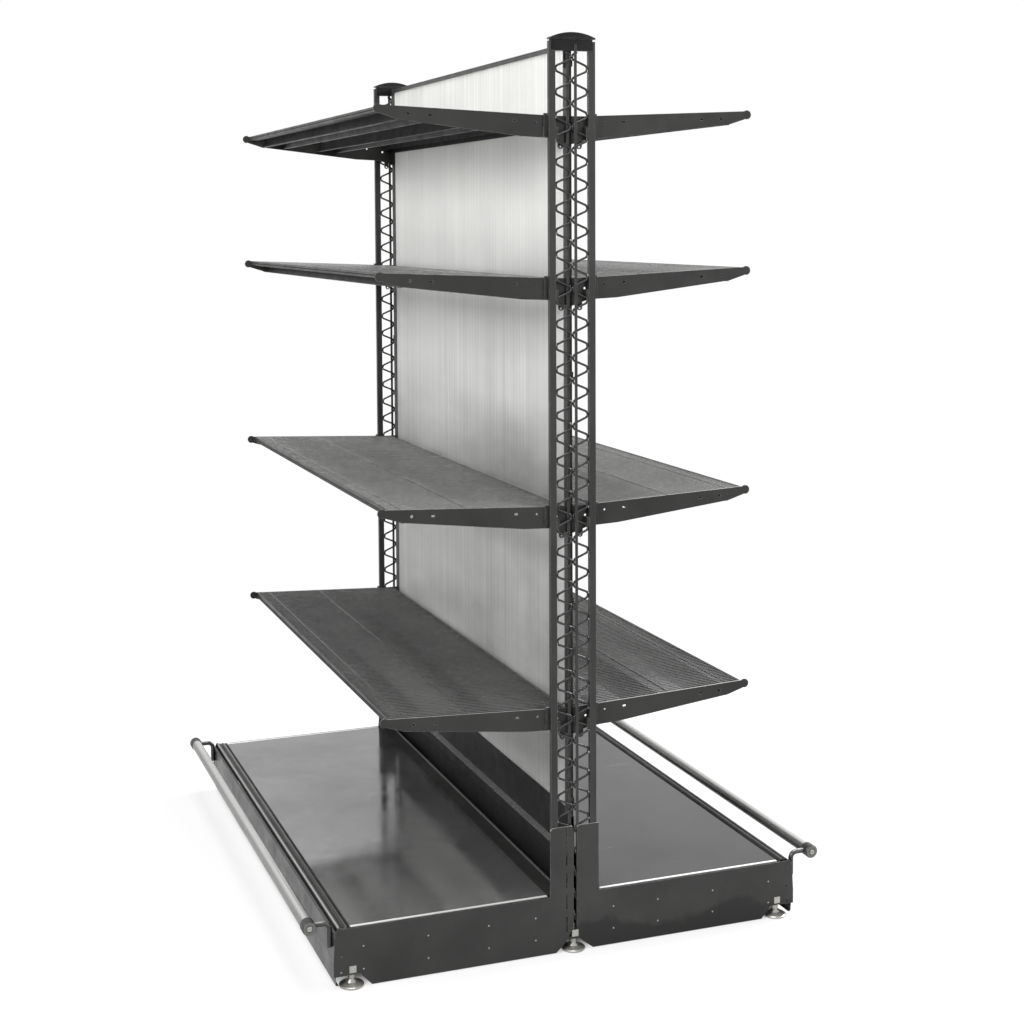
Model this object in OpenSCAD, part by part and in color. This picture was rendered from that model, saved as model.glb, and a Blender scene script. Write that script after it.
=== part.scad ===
// Double-sided gondola bay: lattice posts, wire shelves, centre panel and a low base with bumpers.
// Millimetres, +Z up, origin on the floor under the middle of the bay. X runs across the bay
// (left is -X), Y runs along it (the near end is -Y). A half turn about Z maps the bay onto itself.

/* [Bay] */
// Length of the bay, post centre to post centre
bay_len = 1330; // [1000:5:1400]
// Height of the side bars of a post
bar_top = 2008; // [2000:1:2030]
// Width of a post
post_w = 108; // [104:1:112]

/* [Shelves] */
// Heights of the four shelf levels, measured at the post
levels = [550, 1000, 1500, 1850];
// Reach of a shelf bracket, post side to nose centre
reach = 378; // [300:1:420]
// Upward tilt of the shelves, degrees
tilt = 2.5; // [0:0.5:4]
// Pitch of the deck wires
wire_pitch = 11.6; // [10:0.1:20]
// Diameter of the deck wires
wire_d = 3.5; // [2:0.5:4]

/* [Lattice] */
// Diameter of the sinuous wires in the posts
lat_d = 5; // [4:0.5:5]
// Centreline radius of their bends
lat_r = 8; // [6:0.5:8]

/* [Base] */
// Reach of the base from the middle of the bay to its front corner
base_reach = 552; // [500:1:580]
// Height of the base plates
base_h = 130; // [120:1:140]
// Distance of the bumper tube from the middle of the bay
bumper_x = 604.4; // [590:0.1:640]
// Diameter of the bumper tube
bumper_d = 27; // [22:1:27]

/* [Hidden] */

dark = [0.16, 0.16, 0.16];
steel = [0.42, 0.43, 0.44];
zinc = [0.66, 0.66, 0.64];
clear = [0.82, 0.84, 0.86, 0.6];

// Post section: bars 15 wide and 10 deep, lattice wires in the middle of their depth
post_y = bay_len / 2;
post_d = 10;
bar_w = 15;
half_w = post_w / 2;
bar_in = half_w - bar_w;
face_out = post_y + post_d / 2;
face_in = post_y - post_d / 2;
shoe_z = 26;
shoe_t = 6;
cap_seat = bar_top - 20;
rod_w = 6;
rod_t = post_d / 2 - lat_d / 2;
rod_x = 8;

// Sinuous wire: outer bends touch the bars, inner bends nearly meet on the centre line
pitch = 50;
lat_low = 50;
lat_n = 39;
apex_out = bar_in - lat_d / 2;
apex_in = lat_d / 2 + 0.1;
bend_out = apex_out - lat_r;
bend_in = apex_in + lat_r;
dxc = bend_out - bend_in;
span = sqrt(dxc * dxc + pitch * pitch / 4);
rise = atan2(pitch / 2, dxc) - asin(2 * lat_r / span);
turn = 90 - rise;
flank = sqrt(span * span - 4 * lat_r * lat_r);

// Shelves: bracket plates stand just behind the post
plate_t = 3;
plate_y = face_in - 3;
inner_y = plate_y - plate_t;
shelf_len = 2 * inner_y;
deck_n = floor((shelf_len - 4) / wire_pitch);

// Base
side_t = 3;
foot_x = 511.7;
mid_x = 1;
foot_y = post_y - 6;
deck_z = base_h + 1;
sheet_t = 1.5;

// A bent sheet of thickness t, laid to one side of an open line of points
function unit(v) = v / norm(v);
function nrm(a, b) = let (d = unit(b - a)) [-d[1], d[0]];
function nrm_in(p, i) = i > 0 ? nrm(p[i - 1], p[i]) : nrm(p[0], p[1]);
function nrm_out(p, i) = i < len(p) - 1 ? nrm(p[i], p[i + 1]) : nrm_in(p, i);
function off(p, i, t) = let (a = nrm_in(p, i), m = unit(a + nrm_out(p, i))) p[i] + m * t / (m * a);
function sheet(p, t) = concat(p, [for (i = [len(p) - 1 : -1 : 0]) off(p, i, t)]);

// A profile drawn in X and Z, run along Y about the middle of the bay
module along_y(l) rotate([90, 0, 0]) linear_extrude(height = l, center = true) children();
// A profile drawn in X and Z, given thickness t behind the plane Y = y (towards -Y)
module plate(y, t) translate([0, y, 0]) rotate([90, 0, 0]) linear_extrude(height = t) children();
module half_turn() rotate([0, 0, 180]) children();
module both_ends() {
    children();
    mirror([0, 1, 0]) children();
}

// Posts

module post_bar() {
    difference() {
        translate([bar_in, -face_out, shoe_z + shoe_t])
            cube([bar_w, post_d, bar_top - shoe_z - shoe_t]);
        translate([bar_in - 1, -face_out - 1, cap_seat])
            cube([bar_w - 3.8, post_d + 2, bar_top]);
    }
}

module post_bars() color(dark) {
    post_bar();
    mirror([1, 0, 0]) post_bar();
    // shoe under both bars, drilled for the middle foot
    difference() {
        translate([-half_w, -face_out, shoe_z]) cube([post_w, 24, shoe_t]);
        translate([mid_x, -foot_y, shoe_z - 1]) cylinder(h = shoe_t + 2, d = 10.6, $fn = 32);
    }
}

module bend() rotate([90, 0, 0]) rotate([0, 0, 180 - turn])
    rotate_extrude(angle = 2 * turn, $fn = 32) translate([lat_r, 0]) circle(d = lat_d, $fn = 16);

// The straight flanks are a hair thinner than the bends, and their ends sit inside them
module wire_flank(l) translate([0, 0, -0.5]) cylinder(h = l + 1, d = lat_d - 0.1, $fn = 16);

module sinuous_wire() {
    for (i = [0 : lat_n - 1]) translate([-bend_out, 0, lat_low + i * pitch]) {
        bend();
        translate([dxc, 0, pitch / 2]) mirror([1, 0, 0]) bend();
        translate([lat_r * cos(180 - turn), 0, lat_r * sin(180 - turn)])
            rotate([0, 90 - rise, 0]) wire_flank(flank);
        // the last flank is cut off under the cap
        translate([dxc + lat_r * cos(turn), 0, pitch / 2 + lat_r * sin(turn)])
            rotate([0, rise - 90, 0]) wire_flank(i < lat_n - 1 ? flank : 6);
    }
}

module post_wires() color(dark) translate([0, -post_y, 0]) {
    sinuous_wire();
    half_turn() sinuous_wire();
}

module post_rods() color(dark) {
    translate([rod_x - rod_w / 2, -face_out, 48])
        cube([rod_w, rod_t, bar_top - 6 - 48]);
    translate([-rod_x - rod_w / 2, -face_in - rod_t, 48])
        cube([rod_w, rod_t, cap_seat - 1 - 48]);
}

// An arch of the given chord and rise, standing on y = 0
module arch(c, h) {
    r = (c * c / 4 + h * h) / (2 * h);
    intersection() {
        translate([0, h - r]) circle(r = r, $fn = 96);
        translate([-c / 2, 0]) square([c, h + 1]);
    }
}

module cap() color(dark) translate([0, -post_y, 0]) {
    rim = bar_top + 4;
    w = post_w - 3;
    intersection() {
        translate([0, 0, rim + 3.5]) rotate([90, 0, 0])
            linear_extrude(height = 24, center = true) arch(w - 1, 11.5);
        translate([0, 0, rim + 3.5]) rotate([90, 0, 90])
            linear_extrude(height = w, center = true) arch(19, 16);
    }
    // flat rim
    translate([-w / 2, -10, rim]) cube([w, 20, 3.5]);
    // hollow skirt, seated on the steps of the bars behind the front rod
    difference() {
        translate([-half_w + 5, -2.2, cap_seat]) cube([post_w - 10, 10, rim - cap_seat]);
        translate([-half_w + 7, -0.2, cap_seat - 1]) cube([post_w - 14, 6, rim - cap_seat]);
    }
}

// Centre panel

panel_t = 6;
panel_w = 2 * (face_in - 8.7);
rail_low = 301.5;
panel_low = rail_low + 4;
panel_top = 2002;
flute = 10;

module panel() color(clear) {
    n = floor((panel_w - 4) / flute);
    difference() {
        translate([-panel_t / 2, -panel_w / 2, panel_low])
            cube([panel_t, panel_w, panel_top - panel_low]);
        // vertical flutes between the two skins
        translate([0, 0, panel_low - 1]) linear_extrude(height = panel_top - panel_low + 2)
            for (i = [0 : n - 1]) translate([-panel_t / 2 + 0.8, (i - n / 2) * flute + 0.4])
                square([panel_t - 1.6, flute - 0.8]);
    }
}

module panel_channel() {
    web = face_in - 6.5;
    difference() {
        translate([-5, -web, rail_low]) cube([10, 24, panel_top + 4 - rail_low]);
        translate([-3.2, -web + 1.5, rail_low - 1]) cube([6.4, 24, panel_top]);
    }
    // clips onto the back rod of the post
    for (z = [330, 780, 1280, 1955]) translate([-rod_x - rod_w / 2, -face_in, z])
        cube([rod_x + rod_w / 2 + 5, 6.6, 14]);
    // hooked tongue beside the rod, under the cap
    plate(-web, sheet_t) difference() {
        union() {
            translate([-10, 1956]) circle(d = 9, $fn = 32);
            translate([-14.5, 1956]) square([9, 44]);
            translate([-7, 1978]) square([3, 22]);
        }
        translate([-10, 1956]) circle(d = 3.5, $fn = 24);
    }
}

module panel_channels() color(dark) {
    panel_channel();
    half_turn() panel_channel();
}

module panel_rails() color(dark) {
    l = 2 * (face_in - 6.5 - 24);
    // top rail over the edge of the sheet, with a rolled lip
    along_y(l) polygon(sheet([[-5, panel_top - 7], [-5, panel_top + 4], [5, panel_top + 4],
        [5, panel_top - 7]], -sheet_t));
    along_y(l) translate([-5.8, panel_top - 7]) square([0.8, 4]);
    // bottom rail
    along_y(l) polygon(sheet([[-5, rail_low + 13.5], [-5, rail_low], [5, rail_low],
        [5, rail_low + 13.5]], sheet_t));
}

// Shelves

module at_shelf(i) translate([half_w, 0, levels[i - 1]]) rotate([0, -tilt, 0]) children();

module bracket_shape() {
    difference() {
        union() {
            rotate(tilt) {
                polygon([[-2, 0], [reach - 8, 0], [reach + 8, -10], [reach - 6, -18], [reach - 44, -28],
                    [56, -48], [-2, -48]]);
                translate([reach, -8]) circle(d = 20, $fn = 48);
            }
            // part of the plate behind the post, with its tongue
            polygon([[1, -1], [3.2 - half_w, -1], [3.2 - half_w, -62], [-12, -49], [1, -48]]);
            translate([22 - half_w, -66]) circle(d = 12, $fn = 32);
            translate([16 - half_w, -66]) square([12, 20]);
        }
        rotate(tilt) {
            translate([26, -16]) circle(d = 5, $fn = 24);
            translate([reach - 66, -15]) circle(d = 7, $fn = 24);
            for (u = [74, reach - 114]) {
                for (s = [-2.2, 2.2]) translate([u + s, -15]) circle(d = 4.6, $fn = 24);
                translate([u - 2.2, -17.3]) square([4.4, 4.6]);
            }
        }
        translate([22 - half_w, -67]) circle(d = 5, $fn = 24);
        translate([-20, -24]) circle(d = 6, $fn = 24);
    }
}

module bracket() {
    plate(-inner_y, plate_t) bracket_shape();
    // flange that butts against the side of the post
    rotate([0, -tilt, 0]) translate([0.9, -inner_y - plate_t - 4, -47]) cube([7, 5, 51]);
    // hook through the lattice, with a lip in front of the wire
    translate([33 - half_w, -face_out + 0.2, -40.1]) cube([5.4, face_out - inner_y - 1.2, 14]);
    translate([33 - half_w, -face_out + 0.2, -50]) cube([5.4, 1.9, 24]);
}

module brackets(i) color(dark) translate([half_w, 0, levels[i - 1]]) both_ends() bracket();

// A hat beam from a to b, opening downwards, its top at height t
module hat(a, b, t, d) polygon(sheet([[a - 6, t - d], [a, t - d], [a + 5, t], [b - 5, t],
    [b, t - d], [b + 6, t - d]], -sheet_t));

wire_z = -wire_d / 2 - 0.5;
hat_z = wire_z - wire_d / 2;
strip_h = wire_d + 1.2;
// depth of the turned-down front edge of a deck
front_z = 10;
// rear end of the deck wires, between the posts and 12 mm from the middle of the bay
deck_in = 12 - half_w;

module shelf_frame(i) color(dark) at_shelf(i) along_y(shelf_len) {
    // rear rail
    polygon(sheet([[deck_in - 2, -26], [deck_in - 2, -strip_h], [deck_in + 14, -strip_h],
        [deck_in + 14, -16]], -sheet_t));
    hat(118, 169, hat_z, 27);
    hat(reach - 106, reach - 50, hat_z, 24);
    // front rail under the turned-down ends of the deck
    polygon(sheet([[reach - 26, -6], [reach - 26, -front_z], [reach - 7, -front_z]], -sheet_t));
}

module deck(i) color(dark) at_shelf(i) {
    end = reach - 11.5;
    for (k = [0 : deck_n]) translate([0, (k - deck_n / 2) * wire_pitch, 0]) {
        translate([deck_in, 0, wire_z]) rotate([0, 90, 0])
            cylinder(h = end - deck_in, d = wire_d, $fn = 16);
        // turned-down front end
        translate([end, 0, 1.5 - front_z]) cylinder(h = front_z - 3.5, d = wire_d, $fn = 16);
    }
    // lengthwise strips that the wires are welded through
    for (u = [deck_in + 4, 186, reach - 45])
        translate([u, -inner_y + 0.2, -strip_h]) cube([1.5, shelf_len - 0.4, strip_h - 0.2]);
    translate([end - 2.5, -inner_y + 0.2, -strip_h]) cube([5, shelf_len - 0.4, strip_h - 0.2]);
    translate([end - 2.5, -inner_y + 0.2, -front_z]) cube([5, shelf_len - 0.4, 2.5]);
}

// Base

module ear_holes() {
    translate([537, 70]) circle(d = 5, $fn = 24);
    translate([537, 36]) circle(d = 5, $fn = 24);
    // window for the foot nut
    translate([foot_x - 7.6, 32.4]) square([15.2, 15.2]);
}

// Outline of the base plate beyond the ear, in distance from the middle of the bay
function plate_front() = [[60, base_h], [base_reach - 17, base_h], [base_reach - 9, base_h + 4],
    [base_reach - 3, base_h - 8], [base_reach, base_h - 36], [base_reach + 2, 60],
    [base_reach + 2, 28], [495, 29], [488, 20], [470, 1.5]];

module plate_ledge() translate([66, -face_out - 1, base_h - 4])
    cube([base_reach - 105, 16, 3]);

// Plate on the right of the near post
module base_plate_a() color(dark) {
    plate(-face_out, side_t) difference() {
        union() {
            polygon(concat(plate_front(), [[44, 1.5], [20, 19], [12, 27], [6, 30], [6, 150], [58, 150]]));
            translate([6, 140]) square([52, 139]);
            translate([12, 160]) square([46, 125]);
            translate([12, 279]) circle(d = 12, $fn = 32);
        }
        ear_holes();
        translate([0, 32.4]) square([9, 15.2]);
    }
    plate_ledge();
}

// Plate on the left of the near post, with slits beside its hooked edge
module base_plate_b() color(dark) mirror([1, 0, 0]) {
    plate(-face_out, side_t) difference() {
        union() {
            polygon(concat(plate_front(), [[45, 1.5], [32, 13], [18, 29], [3, 56], [3, 150], [58, 150]]));
            translate([3, 140]) square([55, 137]);
            translate([11, 160]) square([39, 125]);
            for (x = [11, 50]) translate([x, 277]) circle(d = 16, $fn = 32);
        }
        ear_holes();
        for (z = [46 : pitch : 250]) translate([17.5, z]) square([3, 34]);
    }
    plate_ledge();
    // hooks folded in between the centre rods
    for (z = [82 : pitch : 240]) translate([0.4, -face_out - side_t, z])
        cube([3, side_t + 1.5, 10]);
}

module kick() color(dark) along_y(2 * face_out)
    polygon(sheet([[base_reach - 8, 119], [base_reach - 5, 124], [base_reach, 122], [base_reach, 57],
        [base_reach - 3, 9], [base_reach - 9, 7]], -sheet_t));

module base_deck() color(steel) {
    l = 2 * (face_out - 4);
    e = base_reach - 9.5;
    translate([0, 0, deck_z]) along_y(l)
        polygon(sheet([[63, -24], [63, 0], [e - 28, 0], [e - 26, -2], [e - 22, -2], [e - 20, 1],
            [e - 17, 3], [e - 13, 3], [e - 11, 0.5], [e - 9, 0.5], [e - 7, 3], [e - 3, 3], [e, 0],
            [e, -14]], -sheet_t));
    // stiffeners under the sheet
    translate([0, 0, deck_z - sheet_t]) along_y(l - 60) for (x = [180, 330])
        polygon(sheet([[x - 30, 0], [x - 24, -18], [x + 24, -18], [x + 30, 0]], sheet_t));
}

// Strip between the posts that carries the deck back to the back plate, with a bead along its edge
module base_infill() color(steel) translate([0, 0, deck_z]) along_y(2 * (face_in - 3))
    polygon(sheet([[22, -24], [22, 3], [25, 3], [27, 0], [63, 0], [63, -12]], -sheet_t));

// Back plate under the panel, from the post shoes up to the bottom rail, with a folded rib
module back_plate() color(dark) along_y(2 * face_in)
    polygon(sheet([[0.6, rail_low], [4, rail_low], [4, 220], [18.5, 215.5], [18.5, 192],
        [10.5, 182], [10.5, shoe_z + shoe_t + 1.2], [18.5, shoe_z + shoe_t + 1.2]], -1.2));

module bumper_tube() color(steel) translate([bumper_x, 0, 142]) along_y(2 * (face_out - 4))
    difference() {
        circle(d = bumper_d, $fn = 64);
        circle(d = bumper_d - 3, $fn = 64);
    }

end_d = 31;
end_y = post_y - 18;
arm_d = 11.5;
arm_x = base_reach + arm_d / 2;
arm_y = post_y - 10;

module bumper_ends() color(dark) translate([bumper_x, 0, 142]) both_ends()
    translate([0, -end_y, 0]) rotate([90, 0, 0]) rotate_extrude($fn = 64)
        polygon([[bumper_d / 2 + 0.1, 0], [end_d / 2 - 0.6, 0], [end_d / 2, 0.6], [end_d / 2, 22.5],
            [end_d / 2 - 2, 25], [7.5, 25.6], [7, 24.4], [5.2, 24.4], [4.4, 25.8], [0, 26.2],
            [0, 22], [bumper_d / 2 + 0.1, 22]]);

module bumper_arm() translate([0, -arm_y, 142]) {
    r = 14;
    // level part, coped round the sleeve at its end
    difference() {
        translate([arm_x + r, 0, 0]) rotate([0, 90, 0])
            cylinder(h = bumper_x - arm_x - r, d = arm_d, $fn = 32);
        translate([bumper_x, -20, 0]) rotate([-90, 0, 0]) cylinder(h = 40, d = end_d, $fn = 64);
    }
    translate([arm_x + r, 0, -r]) mirror([1, 0, 0]) rotate([90, 0, 0])
        rotate_extrude(angle = 90, $fn = 48) translate([r, 0]) circle(d = arm_d, $fn = 32);
    translate([arm_x, 0, 90 - 142]) cylinder(h = 52 - r, d = arm_d, $fn = 32);
}

module bumper_arms() color(steel) both_ends() bumper_arm();

module foot(x) color(zinc) translate([x, -foot_y, 0]) rotate_extrude($fn = 64)
    polygon([[0, 0], [26, 0], [27, 1], [27, 4], [25, 5.5], [13, 10], [9, 15], [7.5, 17],
        [7.5, 25.7], [5, 25.7], [5, 58], [4, 60], [0, 60]]);

module foot_nut(x) difference() {
    translate([x - 7.5, -face_out - side_t + 0.2, 32.5]) cube([15, 22, 15]);
    translate([x, -foot_y, 32]) cylinder(h = 16, d = 10.6, $fn = 32);
}

module foot_nuts() color(zinc) for (s = [0, 180]) rotate([0, 0, s])
    for (x = [-foot_x, mid_x, foot_x]) foot_nut(x);

post_bars();  // post_bars_near
half_turn() post_bars();  // post_bars_far
post_wires();  // post_wires_near
half_turn() post_wires();  // post_wires_far
post_rods();  // post_rods_near
half_turn() post_rods();  // post_rods_far
cap();  // cap_near
half_turn() cap();  // cap_far
panel();
panel_channels();
panel_rails();
base_plate_b();  // base_plate_near_left
base_plate_a();  // base_plate_near_right
half_turn() base_plate_a();  // base_plate_far_left
half_turn() base_plate_b();  // base_plate_far_right
half_turn() kick();  // kick_left
kick();  // kick_right
half_turn() base_deck();  // base_deck_left
base_deck();  // base_deck_right
half_turn() base_infill();  // base_deck_left_infill
base_infill();  // base_deck_right_infill
half_turn() back_plate();  // back_plate_left
back_plate();  // back_plate_right
half_turn() bumper_tube();  // bumper_tube_left
bumper_tube();  // bumper_tube_right
half_turn() bumper_arms();  // bumper_arms_left
bumper_arms();  // bumper_arms_right
half_turn() bumper_ends();  // bumper_ends_left
bumper_ends();  // bumper_ends_right
foot(-foot_x);  // foot_near_left
foot(mid_x);  // foot_near_mid
foot(foot_x);  // foot_near_right
half_turn() foot(foot_x);  // foot_far_left
half_turn() foot(mid_x);  // foot_far_mid
half_turn() foot(-foot_x);  // foot_far_right
foot_nuts();
for (i = [1 : 4]) {
    half_turn() brackets(i);
    half_turn() shelf_frame(i);
    half_turn() deck(i);
    brackets(i);
    shelf_frame(i);
    deck(i);
}
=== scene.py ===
import math
import random

import bmesh
import bpy
from mathutils import Matrix, Vector


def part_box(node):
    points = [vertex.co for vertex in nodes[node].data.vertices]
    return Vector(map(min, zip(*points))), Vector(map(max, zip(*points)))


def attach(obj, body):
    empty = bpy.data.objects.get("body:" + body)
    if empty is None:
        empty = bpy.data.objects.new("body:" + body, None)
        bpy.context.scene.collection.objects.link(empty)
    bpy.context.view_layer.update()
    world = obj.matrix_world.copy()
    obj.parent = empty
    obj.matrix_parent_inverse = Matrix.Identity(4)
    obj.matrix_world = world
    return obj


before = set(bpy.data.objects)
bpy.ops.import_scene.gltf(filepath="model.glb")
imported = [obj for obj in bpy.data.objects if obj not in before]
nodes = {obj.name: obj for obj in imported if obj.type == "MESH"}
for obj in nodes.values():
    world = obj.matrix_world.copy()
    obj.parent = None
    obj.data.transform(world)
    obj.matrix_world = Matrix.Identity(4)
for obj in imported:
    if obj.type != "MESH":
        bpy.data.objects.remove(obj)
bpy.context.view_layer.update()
scene = bpy.context.scene

# Places taken from the frame


def box_of(name):
    """The lowest and the highest corner of a node."""
    low, high = (Vector(c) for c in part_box(name))
    return low, high


def reach(name):
    """How far a node reaches from the middle of the bay, across it and along it."""
    low, high = box_of(name)
    return max(-low.x, high.x), max(-low.y, high.y)


DECK_FRONT, DECK_END = reach("base_deck_left")
SHELF_FRONT = reach("shelf_left_1_deck")[0]

# Camera

# Place, turn from the bay's length, tilt down and roll, fitted to the lines of the photo
CAM_AT = Vector((-1.411, -3.988, 1.620))
CAM_YAW = -0.3456
CAM_PITCH = 0.0688
CAM_ROLL = -0.0066
LENS_MM = 58.35
SHIFT = (0.032, -0.1707)
SENSOR_MM = 36
CLIP = (0.05, 60)


def make_camera():
    data = bpy.data.cameras.new("camera")
    cam = bpy.data.objects.new("camera", data)
    scene.collection.objects.link(cam)
    up = Vector((0, 0, 1))
    flat = Vector((-math.sin(CAM_YAW), math.cos(CAM_YAW), 0))
    right = Vector((math.cos(CAM_YAW), math.sin(CAM_YAW), 0))
    look = flat * math.cos(CAM_PITCH) - up * math.sin(CAM_PITCH)
    top = flat * math.sin(CAM_PITCH) + up * math.cos(CAM_PITCH)
    side = right * math.cos(CAM_ROLL) + top * math.sin(CAM_ROLL)
    head = top * math.cos(CAM_ROLL) - right * math.sin(CAM_ROLL)
    rot = Matrix((side, head, -look)).transposed()
    cam.matrix_world = Matrix.Translation(CAM_AT) @ rot.to_4x4()
    data.sensor_width = SENSOR_MM
    data.lens = LENS_MM
    data.shift_x, data.shift_y = SHIFT
    data.clip_start, data.clip_end = CLIP
    scene.camera = cam


make_camera()

# Node helpers


def math_node(tree, kind, a, b=0):
    """One Math node; a and b are sockets or numbers."""
    n = tree.nodes.new("ShaderNodeMath")
    n.operation = kind
    for socket, value in zip(n.inputs, (a, b)):
        if isinstance(value, (int, float)):
            socket.default_value = value
        else:
            tree.links.new(value, socket)
    return n.outputs[0]


def map_range(tree, value, lo, hi, out_lo=0.0, out_hi=1.0, kind="LINEAR"):
    n = tree.nodes.new("ShaderNodeMapRange")
    n.interpolation_type = kind
    n.inputs["From Min"].default_value = lo
    n.inputs["From Max"].default_value = hi
    n.inputs["To Min"].default_value = out_lo
    n.inputs["To Max"].default_value = out_hi
    tree.links.new(value, n.inputs["Value"])
    return n.outputs["Result"]


def axes(tree, vector):
    """The X, Y and Z sockets of a vector socket."""
    split = tree.nodes.new("ShaderNodeSeparateXYZ")
    tree.links.new(vector, split.inputs[0])
    return split.outputs


def white_rays(tree):
    """1 for the rays that should see plain white: camera, glossy and transmission rays."""
    path = tree.nodes.new("ShaderNodeLightPath").outputs
    seen = math_node(tree, "MAXIMUM", path["Is Camera Ray"], path["Is Glossy Ray"])
    return math_node(tree, "MAXIMUM", seen, path["Is Transmission Ray"])


# Light

# Strength of the surroundings as a light; the white rays see them at full strength
FILL = 0.30


def make_world():
    world = bpy.data.worlds.new("studio")
    scene.world = world
    world.use_nodes = True
    tree = world.node_tree
    back = tree.nodes["Background"]
    back.inputs["Color"].default_value = (1, 1, 1, 1)
    extra = math_node(tree, "MULTIPLY", white_rays(tree), 1 - FILL)
    tree.links.new(math_node(tree, "ADD", extra, FILL), back.inputs["Strength"])


def area_lamp(name, at, aim, size, watts):
    data = bpy.data.lights.new(name, "AREA")
    data.shape = "RECTANGLE"
    data.size, data.size_y = size
    data.energy = watts
    lamp = bpy.data.objects.new(name, data)
    scene.collection.objects.link(lamp)
    lamp.location = at
    lamp.rotation_mode = "QUATERNION"
    lamp.rotation_quaternion = (Vector(aim) - Vector(at)).to_track_quat("-Z", "Y")


make_world()
# Name, place, what it aims at, size in metres, watts
area_lamp("lamp_top", (-0.4, -0.4, 4.4), (0, 0, 1.0), (2.4, 2.4), 150)
area_lamp("lamp_left", (-3.8, -2.2, 2.7), (0, 0, 1.5), (1.2, 1.2), 160)
area_lamp("lamp_back", (3.6, 0.8, 2.5), (0, 0, 1.6), (2.4, 2.0), 345)
area_lamp("lamp_right", (2.6, -4.2, 1.8), (0, 0, 0.6), (1.8, 1.8), 24)

# Floor

FLOOR_HALF = 15
PAPER = (0.9, 0.9, 0.9, 1)
# Share of plain white in the floor near the object, and under its base
NEAR_SHARE = 0.72
UNDER_SHARE = 0.10
# Distances from the middle between which the floor fades into the background
FADE = (1.0, 2.8)
# Outer and inner limits of the shaded floor under the base
UNDER_X = (0.56, 0.50)
UNDER_Y = (0.68, 0.62)


def make_floor():
    """White paper that fades into the background away from the object.

    Under the base it takes real shade, so that holes and gaps in the base look dark."""
    mesh = bpy.data.meshes.new("floor")
    signs = ((-1, -1), (1, -1), (1, 1), (-1, 1))
    corners = [(x * FLOOR_HALF, y * FLOOR_HALF, 0) for x, y in signs]
    mesh.from_pydata(corners, [], [(0, 1, 2, 3)])
    floor = bpy.data.objects.new("floor", mesh)
    scene.collection.objects.link(floor)
    paper = bpy.data.materials.new("paper")
    paper.use_nodes = True
    tree = paper.node_tree
    tree.nodes.clear()
    out = tree.nodes.new("ShaderNodeOutputMaterial")
    mix = tree.nodes.new("ShaderNodeMixShader")
    diffuse = tree.nodes.new("ShaderNodeBsdfDiffuse")
    diffuse.inputs["Color"].default_value = PAPER
    glow = tree.nodes.new("ShaderNodeEmission")
    at = tree.nodes.new("ShaderNodeTexCoord").outputs["Object"]
    length = tree.nodes.new("ShaderNodeVectorMath")
    length.operation = "LENGTH"
    tree.links.new(at, length.inputs[0])
    open_share = map_range(tree, length.outputs["Value"], *FADE, NEAR_SHARE, 1.0, "SMOOTHSTEP")
    x, y = axes(tree, at)[:2]
    under_x = map_range(tree, math_node(tree, "ABSOLUTE", x), *UNDER_X)
    under_y = map_range(tree, math_node(tree, "ABSOLUTE", y), *UNDER_Y)
    under = math_node(tree, "MULTIPLY", under_x, under_y)
    cut = math_node(tree, "MULTIPLY", under, NEAR_SHARE - UNDER_SHARE)
    share = math_node(tree, "SUBTRACT", open_share, cut)
    tree.links.new(math_node(tree, "MULTIPLY", share, white_rays(tree)), mix.inputs[0])
    tree.links.new(diffuse.outputs[0], mix.inputs[1])
    tree.links.new(glow.outputs[0], mix.inputs[2])
    tree.links.new(mix.outputs[0], out.inputs["Surface"])
    mesh.materials.append(paper)


make_floor()

# Materials


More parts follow.
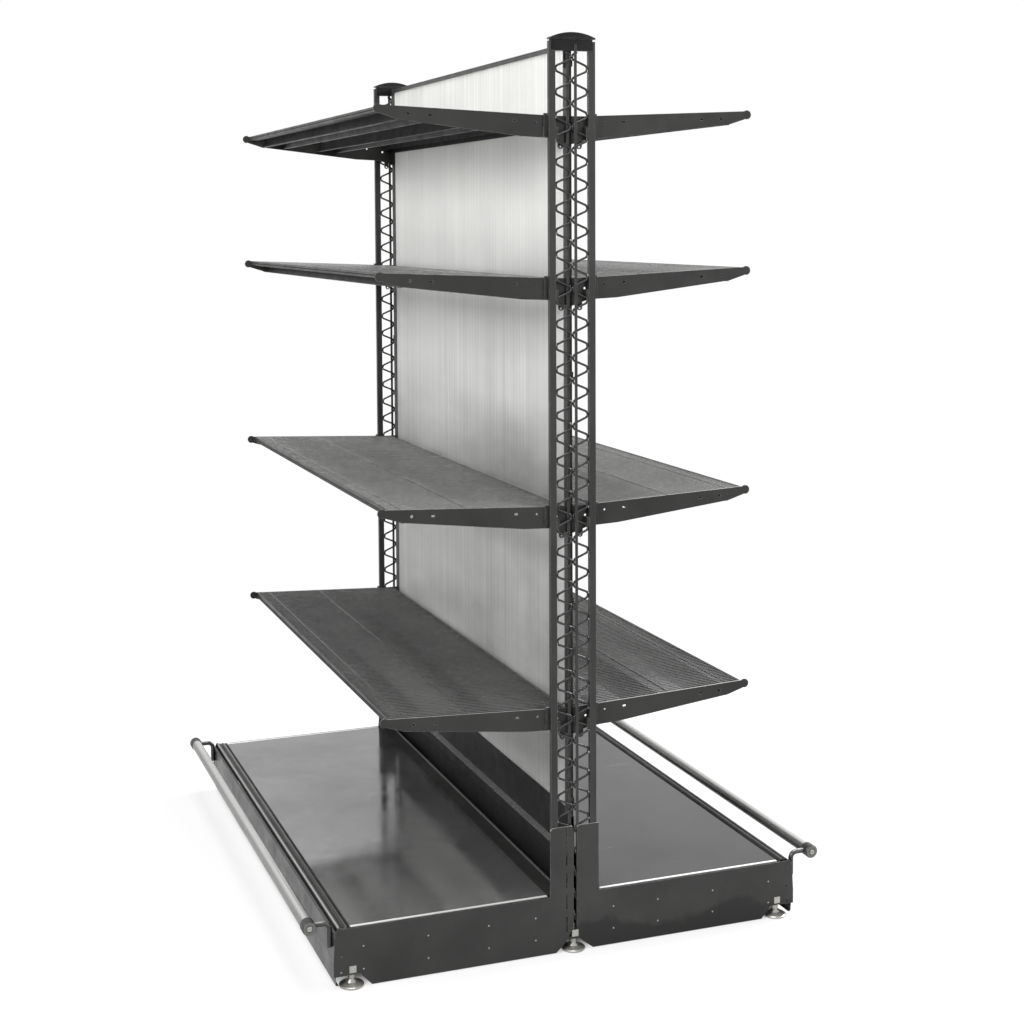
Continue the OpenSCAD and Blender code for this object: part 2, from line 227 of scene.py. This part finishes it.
class Shader:
    """A Principled material with small helpers for its node tree."""

    def __init__(self, name, base, rough, metal=0.0, spec=0.5):
        self.mat = bpy.data.materials.new(name)
        self.mat.use_nodes = True
        self.mat.diffuse_color = (*base, 1)
        self.tree = self.mat.node_tree
        self.bsdf = self.tree.nodes["Principled BSDF"]
        self.bsdf.inputs["Base Color"].default_value = (*base, 1)
        self.bsdf.inputs["Roughness"].default_value = rough
        self.bsdf.inputs["Metallic"].default_value = metal
        self.bsdf.inputs["Specular IOR Level"].default_value = spec
        self.coords = self.tree.nodes.new("ShaderNodeTexCoord").outputs["Object"]

    def node(self, kind, **settings):
        n = self.tree.nodes.new(kind)
        for key, value in settings.items():
            setattr(n, key, value)
        return n

    def link(self, a, b):
        self.tree.links.new(a, b)

    def noise(self, scale, detail=3.0, rough=0.5, stretch=(1, 1, 1)):
        mapping = self.node("ShaderNodeMapping")
        mapping.inputs["Scale"].default_value = stretch
        self.link(self.coords, mapping.inputs["Vector"])
        n = self.node("ShaderNodeTexNoise")
        n.inputs["Scale"].default_value = scale
        n.inputs["Detail"].default_value = detail
        n.inputs["Roughness"].default_value = rough
        self.link(mapping.outputs[0], n.inputs["Vector"])
        return n.outputs["Fac"]

    def axes(self):
        """The X, Y and Z sockets of the place on the object, in metres."""
        return axes(self.tree, self.coords)

    def ramp(self, value, lo, hi, out_lo=0.0, out_hi=1.0):
        return map_range(self.tree, value, lo, hi, out_lo, out_hi)

    def calc(self, kind, a, b=0):
        return math_node(self.tree, kind, a, b)

    def times(self, a, b):
        return self.calc("MULTIPLY", a, b)

    def blend(self, mask, a, b):
        """A colour that goes from a to b with mask; a and b are colours or sockets."""
        n = self.node("ShaderNodeMix", data_type="RGBA")
        self.link(mask, n.inputs[0])
        for socket, value in ((n.inputs[6], a), (n.inputs[7], b)):
            if isinstance(value, tuple):
                socket.default_value = (*value, 1)
            else:
                self.link(value, socket)
        return n.outputs[2]

    def colour(self, socket):
        self.link(socket, self.bsdf.inputs["Base Color"])

    def rough(self, socket):
        self.link(socket, self.bsdf.inputs["Roughness"])

    def bump(self, height, strength, distance):
        n = self.node("ShaderNodeBump")
        n.inputs["Strength"].default_value = strength
        n.inputs["Distance"].default_value = distance
        self.link(height, n.inputs["Height"])
        self.link(n.outputs["Normal"], self.bsdf.inputs["Normal"])

    def edges(self, radius):
        """1 along sharp edges and 0 on flats."""
        bevel = self.node("ShaderNodeBevel", samples=4)
        bevel.inputs["Radius"].default_value = radius
        geo = self.node("ShaderNodeNewGeometry")
        dot = self.node("ShaderNodeVectorMath", operation="DOT_PRODUCT")
        self.link(bevel.outputs[0], dot.inputs[0])
        self.link(geo.outputs["Normal"], dot.inputs[1])
        return self.ramp(dot.outputs["Value"], 0.98, 0.80)


def scaled(colour, factor):
    return tuple(c * factor for c in colour)


# Colours of scuffs, of scuffs on the lighter copy of the wire paint, of scratches, of the lighter near end
# of a deck, of edges that are worn and also carry a painted highlight, and of the painted highlight at the
# ends of a deck
PALE_WEAR_AND_GLINT = (0.24, 0.24, 0.23)
LIT_COPY_SCUFF = (0.34, 0.34, 0.33)
SCRATCH = (0.42, 0.42, 0.41)
NEAR_END_TONE = (0.55, 0.55, 0.54)
RIM = (0.5, 0.5, 0.49)
GLINT_TONE = (0.90, 0.90, 0.89)

# Limits of the wavy upper line of a darker zone near the floor, and the height of its soft edge
LOW_DARK_LINE = (0.015, 0.085)
LOW_DARK_EDGE = 0.014
# Half width of the painted highlight along a fold: where it starts to show, and where it is full
FOLD_GLINT = (0.0012, 0.0006)


def painted(name, base, rough, edge_wear_and_glint=0.7, spec=0.3, wear_and_glint=PALE_WEAR_AND_GLINT, edge=0.0013, low_dark=0, fold=0,
            metal=0.0, mottle=0.25):
    """Powder coat or moulded plastic: fine orange peel, mottling, dusty scuffs, and edges
    lightened both as wear and as a painted highlight.

    One argument sets the strength of a darker zone with a wavy upper line near the floor.
    fold is the height of a crease along which a painted highlight runs."""
    s = Shader(name, base, rough, metal, spec)
    dark, light = scaled(base, 1 - mottle), scaled(base, 1 + mottle)
    tone = s.blend(s.ramp(s.noise(7, 4), 0.35, 0.65), dark, light)
    scuff = s.ramp(s.noise(55, 6, 0.7, (1, 1, 5)), 0.66, 0.78, 0.0, 0.30)
    tone = s.blend(scuff, tone, wear_and_glint)
    speck = s.ramp(s.noise(420, 2), 0.74, 0.80, 0.0, 0.35)
    tone = s.blend(speck, tone, wear_and_glint)
    # A darker zone near the floor, with a wavy upper line
    if low_dark:
        line = s.ramp(s.noise(6, 4, 0.55, (1, 1, 0.6)), 0.30, 0.70, *LOW_DARK_LINE)
        below = s.calc("SUBTRACT", line, s.axes()[2])
        tone = s.blend(s.ramp(below, 0.0, LOW_DARK_EDGE, 0.0, low_dark), tone, scaled(base, 0.35))
    # Painted highlight: a light line along the fold of a sheet
    if fold:
        off = s.calc("ABSOLUTE", s.calc("SUBTRACT", s.axes()[2], fold))
        fold_glint = s.times(s.ramp(off, *FOLD_GLINT), s.ramp(s.noise(4, 4), 0.35, 0.60, 0.1, 0.9))
        tone = s.blend(fold_glint, tone, wear_and_glint)
    # Edges lightened both as wear and as a painted highlight where light catches them
    if edge_wear_and_glint:
        worn_and_glinting_edges = s.times(s.edges(edge), s.ramp(s.noise(90, 4), 0.38, 0.60, 0.1, edge_wear_and_glint))
        tone = s.blend(worn_and_glinting_edges, tone, wear_and_glint)
    s.colour(tone)
    s.rough(s.ramp(s.noise(24, 4), 0.3, 0.7, rough - 0.3 * mottle, rough + 0.3 * mottle))
    s.bump(s.noise(900, 2), 0.12, 0.0004)
    return s.mat


def brushed(name, base, rough, metal, stretch=(1, 1, 1), smudges=0.4, under=1.0, top=1.0):
    """Bare or plated steel with fine lines along one direction and a few smudges.

    under and top scale the colour of what looks down and of what looks straight up, as painted shade below
    and a painted highlight on top."""
    s = Shader(name, base, rough, metal)
    dark, light = scaled(base, 0.82), scaled(base, 1.16)
    lines = s.noise(260, 3, 0.6, stretch)
    tone = s.blend(s.ramp(lines, 0.3, 0.7), dark, light)
    smudge = s.ramp(s.noise(5, 5, 0.6), 0.45, 0.75, 0.0, smudges)
    tone = s.blend(smudge, tone, dark)
    # Painted shade on faces that look down, and a painted highlight on faces that look up
    if under < 1 or top > 1:
        up = axes(s.tree, s.node("ShaderNodeNewGeometry").outputs["Normal"])[2]
        tone = s.blend(s.ramp(up, 0.70, -0.30), tone, scaled(base, under))
        tone = s.blend(s.ramp(up, 0.70, 0.97), tone, scaled(base, top))
    s.colour(tone)
    s.rough(s.ramp(s.noise(9, 4), 0.3, 0.7, rough - 0.05, rough + 0.08))
    s.bump(lines, 0.05, 0.0002)
    return s.mat


DECK_METAL = 0.75
# A strip of this width along both ends of a deck carries a painted highlight, and is less like a mirror
GLINT_WIDTH = 0.008
GLINT_EDGE = 0.001
GLINT_SHARE = 0.90
GLINT_METAL = 0.1


def deck_sheet(name, base, near_end_share=0.0):
    """Dark sheet with a clear sheen, a painted highlight strip at each end, edges lightened as wear
    and as a painted highlight, and a few scratches.

    Its last argument is the share of a lighter tone towards the near end."""
    s = Shader(name, base, 0.16, DECK_METAL)
    dark, light = scaled(base, 0.80), scaled(base, 1.20)
    tone = s.blend(s.ramp(s.noise(3.2, 5, 0.6), 0.35, 0.65), dark, light)
    cloud = s.ramp(s.noise(11, 6, 0.65), 0.50, 0.72, 0.0, 0.35)
    tone = s.blend(cloud, tone, scaled(base, 1.5))
    scratch = s.ramp(s.noise(260, 2, 0.4, (0.03, 1, 1)), 0.735, 0.76, 0.0, 0.45)
    tone = s.blend(scratch, tone, SCRATCH)
    y = s.axes()[1]
    # Lighter towards the near end
    tone = s.blend(s.ramp(y, 0.05, -0.60, 0.0, near_end_share), tone, NEAR_END_TONE)
    # Painted highlight: a bright strip along both ends of the deck
    start = DECK_END - GLINT_WIDTH
    painted_glint = s.ramp(s.calc("ABSOLUTE", y), start, start + GLINT_EDGE, 0.0, GLINT_SHARE)
    tone = s.blend(painted_glint, tone, GLINT_TONE)
    metal = s.ramp(painted_glint, 0.0, GLINT_SHARE, DECK_METAL, GLINT_METAL)
    s.link(metal, s.bsdf.inputs["Metallic"])
    # Edges lightened as wear and as a painted highlight
    rim = s.times(s.edges(0.001), s.ramp(s.noise(60, 3), 0.3, 0.5, 0.2, 0.6))
    tone = s.blend(rim, tone, RIM)
    s.colour(tone)
    s.rough(s.ramp(s.noise(6, 5, 0.6), 0.3, 0.7, 0.07, 0.20))
    s.bump(s.noise(500, 2), 0.04, 0.0002)
    return s.mat


# Share of the translucent shader in the panel
PANEL_CLEAR = 0.56
STREAK_DARK = (0.73, 0.73, 0.72)
STREAK_LIGHT = (0.99, 0.99, 0.98)
WIDE_STREAK = (0.77, 0.77, 0.765)
CLOUD = (0.68, 0.68, 0.675)
PANEL_LOW_SHADE = (0.42, 0.42, 0.42)
SHELF_SHADE = (0.16, 0.16, 0.16)
# Painted shade, darker towards the bottom of the panel, fades out between these heights
LOW_SHADE_TOP = 1.60
LOW_SHADE_FULL = 0.35
# Painted shade in bands just above the shelves: pairs of height and share
SHELF_SHADE_BANDS = ((0.10, 0.10), (0.56, 0.45), (0.85, 0.10), (0.98, 0.00), (1.00, 0.60), (1.20, 0.08),
          (1.45, 0.00), (1.50, 0.20), (1.62, 0.00))
# The colour ramp of the painted shade bands covers heights from 0 to this
SHELF_SHADE_SPAN = 2


def shelf_shade_share(s):
    """Share of painted shade by height, from a colour ramp over the height of the panel."""
    bands = s.node("ShaderNodeValToRGB")
    stops = bands.color_ramp.elements
    stops[1].color = (0, 0, 0, 1)
    for z, share in SHELF_SHADE_BANDS:
        stops.new(z / SHELF_SHADE_SPAN).color = (share, share, share, 1)
    s.link(s.times(s.axes()[2], 1 / SHELF_SHADE_SPAN), bands.inputs[0])
    return bands.outputs[0]


def panel_sheet():
    """Translucent twin-wall sheet with fine vertical streaks between its flutes."""
    s = Shader("panel_sheet", (0.88, 0.88, 0.88), 0.34, spec=0.4)
    streak = s.noise(1.0, 5, 0.65, (1, 190, 0.6))
    wide = s.noise(1.0, 3, 0.5, (1, 26, 0.3))
    cloud = s.noise(2.3, 4, 0.55, (1, 1, 1.6))
    tone = s.blend(s.ramp(streak, 0.32, 0.68), STREAK_DARK, STREAK_LIGHT)
    tone = s.blend(s.ramp(wide, 0.35, 0.65, 0.0, 0.35), tone, WIDE_STREAK)
    tone = s.blend(s.ramp(cloud, 0.40, 0.66, 0.0, 0.20), tone, CLOUD)
    # Painted shade: the panel darker towards the bottom
    low_shade = s.ramp(s.axes()[2], LOW_SHADE_TOP, LOW_SHADE_FULL, 0.0, 0.15)
    tone = s.blend(low_shade, tone, PANEL_LOW_SHADE)
    # Painted shade in blotchy bands just above the shelves, stronger towards the near end
    patch = s.ramp(s.noise(2.6, 5, 0.6, (1, 0.7, 1.8)), 0.32, 0.66, 0.3, 1.0)
    patch = s.times(patch, s.ramp(s.axes()[1], 0.3, -0.6, 0.6, 1.2))
    tone = s.blend(s.times(shelf_shade_share(s), patch), tone, SHELF_SHADE)
    s.colour(tone)
    s.bump(streak, 0.25, 0.0006)
    glow = s.node("ShaderNodeBsdfTranslucent")
    s.link(tone, glow.inputs["Color"])
    mix = s.node("ShaderNodeMixShader")
    mix.inputs[0].default_value = PANEL_CLEAR
    out = s.tree.nodes["Material Output"]
    s.link(s.bsdf.outputs[0], mix.inputs[1])
    s.link(glow.outputs[0], mix.inputs[2])
    s.link(mix.outputs[0], out.inputs["Surface"])
    return s.mat


CHARCOAL = (0.027, 0.027, 0.026)
# Settings that the wires of all shelf decks share
WIRES = {"rough": 0.27, "edge_wear_and_glint": 0, "spec": 0.6, "metal": 0.5, "mottle": 0.07}
MATS = {
    "dark": painted("charcoal_paint", CHARCOAL, 0.42),
    # The brackets have stronger edges lightened as wear and as a painted highlight
    "bracket": painted("bracket_paint", (0.021, 0.021, 0.020), 0.40, edge_wear_and_glint=0.85, edge=0.0016),
    # The kick plates carry a painted highlight along their fold
    "kick": painted("kick_paint", (0.036, 0.036, 0.035), 0.36, edge_wear_and_glint=0.8, fold=0.0572),
    # Painted shade: a darker copy of the charcoal paint for the shelf frames and the downward faces of the
    # wire decks
    "under": painted("underside_shade_paint", (0.013, 0.013, 0.013), 0.42, edge_wear_and_glint=0.5, spec=0.2),
    "plate": painted("plate_paint", CHARCOAL, 0.40, edge_wear_and_glint=0.8),
    "plate_low_dark": painted("plate_paint_low_dark", CHARCOAL, 0.40, edge_wear_and_glint=0.8, low_dark=0.9),
    "shade": painted("shaded_paint", (0.007, 0.007, 0.007), 0.45, edge_wear_and_glint=0.8, spec=0.12),
    # Steel tone for painted highlights on upper edges, and for the bright strip at the ends of a deck
    "painted_glint": brushed("painted_glint_steel", (0.55, 0.55, 0.54), 0.34, 0.5),
    # Painted light: the decks above the lowest take a lighter copy of the wire paint, with lighter scuffs
    "wire": painted("wire_paint", (0.145, 0.145, 0.143), wear_and_glint=PALE_WEAR_AND_GLINT, **WIRES),
    "wire_lit_copy": painted("wire_paint_lit_copy", (0.22, 0.22, 0.217), wear_and_glint=LIT_COPY_SCUFF, **WIRES),
    "lattice": painted("lattice_paint", (0.010, 0.010, 0.010), 0.12, edge_wear_and_glint=0, spec=0.5),
    "deck": deck_sheet("deck_steel", (0.20, 0.20, 0.20), near_end_share=0.45),
    "deck_dull": deck_sheet("deck_steel_dull", (0.06, 0.06, 0.06)),
    # The tubes and arms are darkened below as painted shade and lightened on top as a painted highlight
    "tube": brushed("tube_steel", (0.22, 0.22, 0.215), 0.24, 0.50, stretch=(1, 0.004, 1), smudges=0.15,
                    under=0.10, top=2.3),
    "arm": brushed("arm_steel", (0.10, 0.10, 0.098), 0.24, 0.7, smudges=0.2, under=0.4, top=4.0),
    "disc": brushed("end_disc", (0.13, 0.13, 0.125), 0.36, 0.5),
    "zinc": brushed("zinc_plate", (0.40, 0.39, 0.36), 0.32, 0.7),
    # Worn steel for welds and dimples, also used as a painted highlight on the bead edges of the left deck
    "wear_and_glint": brushed("wear_and_glint_steel", (0.34, 0.34, 0.33), 0.42, 0.5),
    # Edges lightened as wear and as a painted highlight of the lamps
    "cap": painted("cap_plastic", (0.008, 0.008, 0.008), 0.14, edge_wear_and_glint=0.6, spec=0.16, edge=0.0012),
    "panel": panel_sheet(),
}


def material_of(name):
    if name == "panel":
        return "panel"
    if name.startswith("cap_"):
        return "cap"
    # Painted reflection: the infill strips take the charcoal paint for the dark reflection of the back
    # plates in the decks
    if name.endswith("_infill"):
        return "dark"
    if name.startswith("base_deck"):
        return "deck_dull" if name.endswith("_right") else "deck"
    if name.startswith("bumper_tube"):
        return "tube"
    if name.startswith("bumper_arms"):
        return "arm"
    if name.startswith("foot_"):
        return "zinc"
    if name.startswith("post_wires"):
        return "lattice"
    if name.startswith("shelf_") and name.endswith("_deck"):
        # Painted light: every deck but the lowest takes the lighter copy of the wire paint
        return "wire" if "_1_" in name else "wire_lit_copy"
    # Shelf frames take the darker paint as painted shade
    if name.startswith("shelf_"):
        return "bracket" if name.endswith("_brackets") else "under"
    if name.startswith("back_plate"):
        return "shade"
    if name.startswith("base_plate"):
        return "plate_low_dark" if name.endswith("near_right") else "plate"
    if name.startswith("kick"):
        return "kick"
    return "dark"


# Depths behind the front edge of a base deck: its painted trim, the grooves in the trim, which are darkened
# as painted shade, and the edges of its beads, which carry a painted highlight on the left only
TRIM = 0.0305
GROOVES = ((0.0210, 0.0305), (0.0085, 0.0115))
BEAD_EDGES = ((0.0170, 0.0200), (0.0, 0.0030))
# Depth of the turned-down front edge of a wire deck, which takes the charcoal paint as painted shade
NOSE = 0.0056
# Height above which the upper edges of the base plates are the rounded tops of the ears
EAR_TOP = 0.26
# Height above which the upward faces of the back plates, their ledges, take a lighter paint as painted light
LEDGE_ABOVE = 0.2
# A height between the bottom rail and the top rail of the panel
BETWEEN_RAILS = 1


def depth(poly, front):
    """How far a face lies behind the front edge of its tray or shelf."""
    return front - abs(poly.center.x)


def in_bands(value, bands):
    return any(low <= value <= high for low, high in bands)


# Painted highlight on the bead edges of the left deck, where the light falls on them
def is_bead_edge(poly):
    on_left = poly.center.x < 0
    return on_left and in_bands(depth(poly, DECK_FRONT), BEAD_EDGES) and abs(poly.normal.x) < 0.9


def more_looks(name):
    """Further materials of a node, each with the test that picks its faces; the last match wins."""
    if name in ("base_deck_left", "base_deck_right"):
        return [("dark", lambda poly: depth(poly, DECK_FRONT) < TRIM),
                ("shade", lambda poly: in_bands(depth(poly, DECK_FRONT), GROOVES)),
                ("wear_and_glint", is_bead_edge)]
    if name.startswith("shelf_") and name.endswith("_brackets"):
        # painted highlight on the sloping upper edges, but not the flat ones
        return [("painted_glint", lambda poly: poly.normal.z > 0.97 and abs(poly.normal.x) > 0.01)]
    if name.startswith("bumper_ends"):
        return [("disc", lambda poly: abs(poly.normal.y) > 0.9)]
    if name.startswith("base_plate"):
        # Painted highlight on the rounded tops of the ears
        return [("painted_glint", lambda poly: poly.normal.z > 0.3 and poly.center.z > EAR_TOP)]
    if name.startswith("back_plate"):
        # Painted light: the upward ledge faces take the lighter copy of the wire paint
        return [("wire_lit_copy", lambda poly: poly.normal.z > 0.5 and poly.center.z > LEDGE_ABOVE)]
    if name.startswith("shelf_") and name.endswith("_deck"):
        # Painted shade: the side faces and front edge of a wire deck take the charcoal paint, its downward
        # faces the darker underside paint
        return [("dark", lambda poly: abs(poly.normal.x) > 0.7 or depth(poly, SHELF_FRONT) < NOSE),
                ("under", lambda poly: poly.normal.z < -0.3)]
    if name == "panel_rails":
        return [("shade", lambda poly: poly.center.z < BETWEEN_RAILS)]
    return []


for name, obj in nodes.items():
    looks = more_looks(name)
    obj.data.materials.clear()
    for key in [material_of(name)] + [key for key, _ in looks]:
        obj.data.materials.append(MATS[key])
    for poly in obj.data.polygons:
        hits = [k for k, (_, test) in enumerate(looks, 1) if test(poly)]
        poly.material_index = hits[-1] if hits else 0

# Small pieces: screws, welds, dimples, thread


def add_piece(name, bm, mat, body, smooth=True):
    mesh = bpy.data.meshes.new(name)
    bm.to_mesh(mesh)
    bm.free()
    obj = bpy.data.objects.new(name, mesh)
    scene.collection.objects.link(obj)
    mesh.materials.append(MATS[mat])
    for poly in mesh.polygons:
        poly.use_smooth = smooth
    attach(obj, body)


def ring(bm, r, z, steps):
    turns = [2 * math.pi * k / steps for k in range(steps)]
    return [bm.verts.new((r * math.cos(turn), r * math.sin(turn), z)) for turn in turns]


def skin(bm, rings):
    """Faces between each two rings of the same number of corners."""
    for low, high in zip(rings, rings[1:]):
        n = len(low)
        for k in range(n):
            bm.faces.new((low[k], low[(k + 1) % n], high[(k + 1) % n], high[k]))


TURN_STEPS = 40


def lathe(bm, profile, steps=TURN_STEPS):
    """Rings of (radius, height) skinned into a turned surface about Z; returns its corners."""
    rings = [ring(bm, r, z, steps) for r, z in profile]
    skin(bm, rings)
    return [v for r in rings for v in r]


def place(bm, verts, matrix):
    bmesh.ops.transform(bm, matrix=matrix, verts=verts)


def bead(bm, at, size, rng):
    """An irregular weld bead: a squashed ball with a wavy surface."""
    wave = [rng.uniform(0.8, 1.2) for _ in range(3)]
    for v in bmesh.ops.create_uvsphere(bm, u_segments=12, v_segments=8, radius=1)["verts"]:
        swell = 1 + 0.12 * math.sin(5 * v.co.x + 9 * wave[0]) * math.cos(4 * v.co.z + 7 * wave[1])
        v.co = Vector([c * d * w * swell for c, d, w in zip(v.co, size, wave)]) + Vector(at)


# Screw head: radii of the rim and of the flat top, height, and how far the rim goes below z = 0
HEAD_RIM = 0.0056
HEAD_FLAT = 0.0040
HEAD_HEIGHT = 0.0022
HEAD_BELOW = 0.0006
# Cross recess: half length and half width of its arms, depth, and its size at the bottom
CROSS_ARM = 0.0026
CROSS_HALF = 0.0006
CROSS_DEEP = 0.0013
CROSS_TAPER = 0.7


def screw_head(bm, matrix):
    """A pan head with a cross recess, standing on z = 0."""
    start = set(bm.verts)
    profile = ((HEAD_RIM, -HEAD_BELOW), (HEAD_RIM, HEAD_HEIGHT * 0.35), (HEAD_RIM * 0.95, HEAD_HEIGHT * 0.7),
               (HEAD_FLAT, HEAD_HEIGHT))
    rings = [ring(bm, r, z, TURN_STEPS) for r, z in profile]
    skin(bm, rings)
    quarter = ((CROSS_HALF, CROSS_HALF), (CROSS_ARM, CROSS_HALF), (CROSS_ARM, -CROSS_HALF))
    cross = []
    for k in range(4):
        turn = -k * math.pi / 2
        c, s = round(math.cos(turn)), round(math.sin(turn))
        cross += [(x * c - y * s, x * s + y * c) for x, y in quarter]
    top = [bm.verts.new((x, y, HEAD_HEIGHT)) for x, y in cross]
    low = [bm.verts.new((x * CROSS_TAPER, y * CROSS_TAPER, HEAD_HEIGHT - CROSS_DEEP)) for x, y in cross]
    edges = []
    for loop in (rings[-1], top):
        for a, b in zip(loop, loop[1:] + loop[:1]):
            edges.append(bm.edges.get((a, b)) or bm.edges.new((a, b)))
    bmesh.ops.triangle_fill(bm, use_beauty=True, edges=edges)
    skin(bm, [low, top])
    bm.faces.new(low)
    place(bm, [v for v in bm.verts if v not in start], matrix)


def turned(at, degrees, axis):
    return Matrix.Translation(at) @ Matrix.Rotation(math.radians(degrees), 4, axis)


# Bumper end screws: how far their heads are sunk in the end caps
SCREW_SUNK = 0.0009
for side in ("left", "right"):
    low, high = box_of("bumper_ends_" + side)
    mid = (low + high) / 2
    bm = bmesh.new()
    for y, turn, twist in ((low.y + SCREW_SUNK, 90, 20), (high.y - SCREW_SUNK, -90, 65)):
        screw_head(bm, turned((mid.x, y, mid.z), turn, "X") @ Matrix.Rotation(math.radians(twist), 4, "Z"))
    bmesh.ops.recalc_face_normals(bm, faces=bm.faces)
    add_piece("bumper_screws_" + side, bm, "zinc", "frame", smooth=False)

# Post welds: each outer bend of a lattice wire is tacked to its side bar
PITCH = 0.050
# How far a bead sits inside the outermost point of the wires, and its half sizes
WELD_IN = 0.0014
WELD_SIZE = (0.0021, 0.0030, 0.0033)
# Heights of a bead above or below its bend, and how far it strays across the bar
WELD_DROPS = (-0.0042, 0.0040, -0.0045)
WELD_STRAY = 0.0008
for end, seed in (("near", 11), ("far", 12)):
    low, high = box_of("post_wires_" + end)
    weld_x = high.x - WELD_IN
    post_y = (low.y + high.y) / 2
    bends = int(high.z / PITCH)
    rng = random.Random(seed)
    bm = bmesh.new()
    for k in range(1, bends + 1):
        for side in (-1, 1):
            drop = rng.choice(WELD_DROPS)
            y = post_y + rng.uniform(-WELD_STRAY, WELD_STRAY)
            bead(bm, (side * weld_x, y, k * PITCH + drop), WELD_SIZE, rng)
    add_piece("post_welds_" + end, bm, "wear_and_glint", "frame")

# Spot-weld dimples on the base plates, left and right of the post
DIMPLE_X = (0.094, 0.204, 0.343, 0.488)
DIMPLE_Z = (0.038, 0.088)
DIMPLE_R = 0.0019
DIMPLE_H = 0.0004
# Its profile as shares of that radius and height
DIMPLE_SHAPE = ((1, 0), (0.75, 0.5), (0.4, 0.9), (0.05, 1))
DIMPLE_STEPS = 24
for end, sign in (("near", -1), ("far", 1)):
    low, high = box_of("base_plate_%s_left" % end)
    face = low.y if sign < 0 else high.y
    profile = [(DIMPLE_R * r, DIMPLE_H * z) for r, z in DIMPLE_SHAPE]
    bm = bmesh.new()
    for x in DIMPLE_X:
        for side in (-1, 1):
            for z in DIMPLE_Z:
                dimple = lathe(bm, profile, DIMPLE_STEPS)
                place(bm, dimple, turned((side * x, face, z), -90 * sign, "X"))
    bmesh.ops.recalc_face_normals(bm, faces=bm.faces)
    add_piece("plate_dimples_" + end, bm, "wear_and_glint", "frame")

# Thread ridges on the neck of each levelling foot
THREAD_LOW = 0.0172
THREAD_TOP = 0.0252
THREAD_STEP = 0.0016
THREAD_ROOT = 0.00735
THREAD_CREST = 0.0081
for end in ("near", "far"):
    for spot in ("left", "mid", "right"):
        where = "%s_%s" % (end, spot)
        low, high = box_of("foot_" + where)
        mid = (low + high) / 2
        profile = []
        z = THREAD_LOW
        while z < THREAD_TOP:
            profile += [(THREAD_ROOT, z), (THREAD_CREST, z + THREAD_STEP / 2)]
            z += THREAD_STEP
        profile.append((THREAD_ROOT, z))
        bm = bmesh.new()
        place(bm, lathe(bm, profile), Matrix.Translation((mid.x, mid.y, 0)))
        add_piece("foot_thread_" + where, bm, "zinc", "leveller_" + where)

# End

scene.view_settings.view_transform = "Standard"
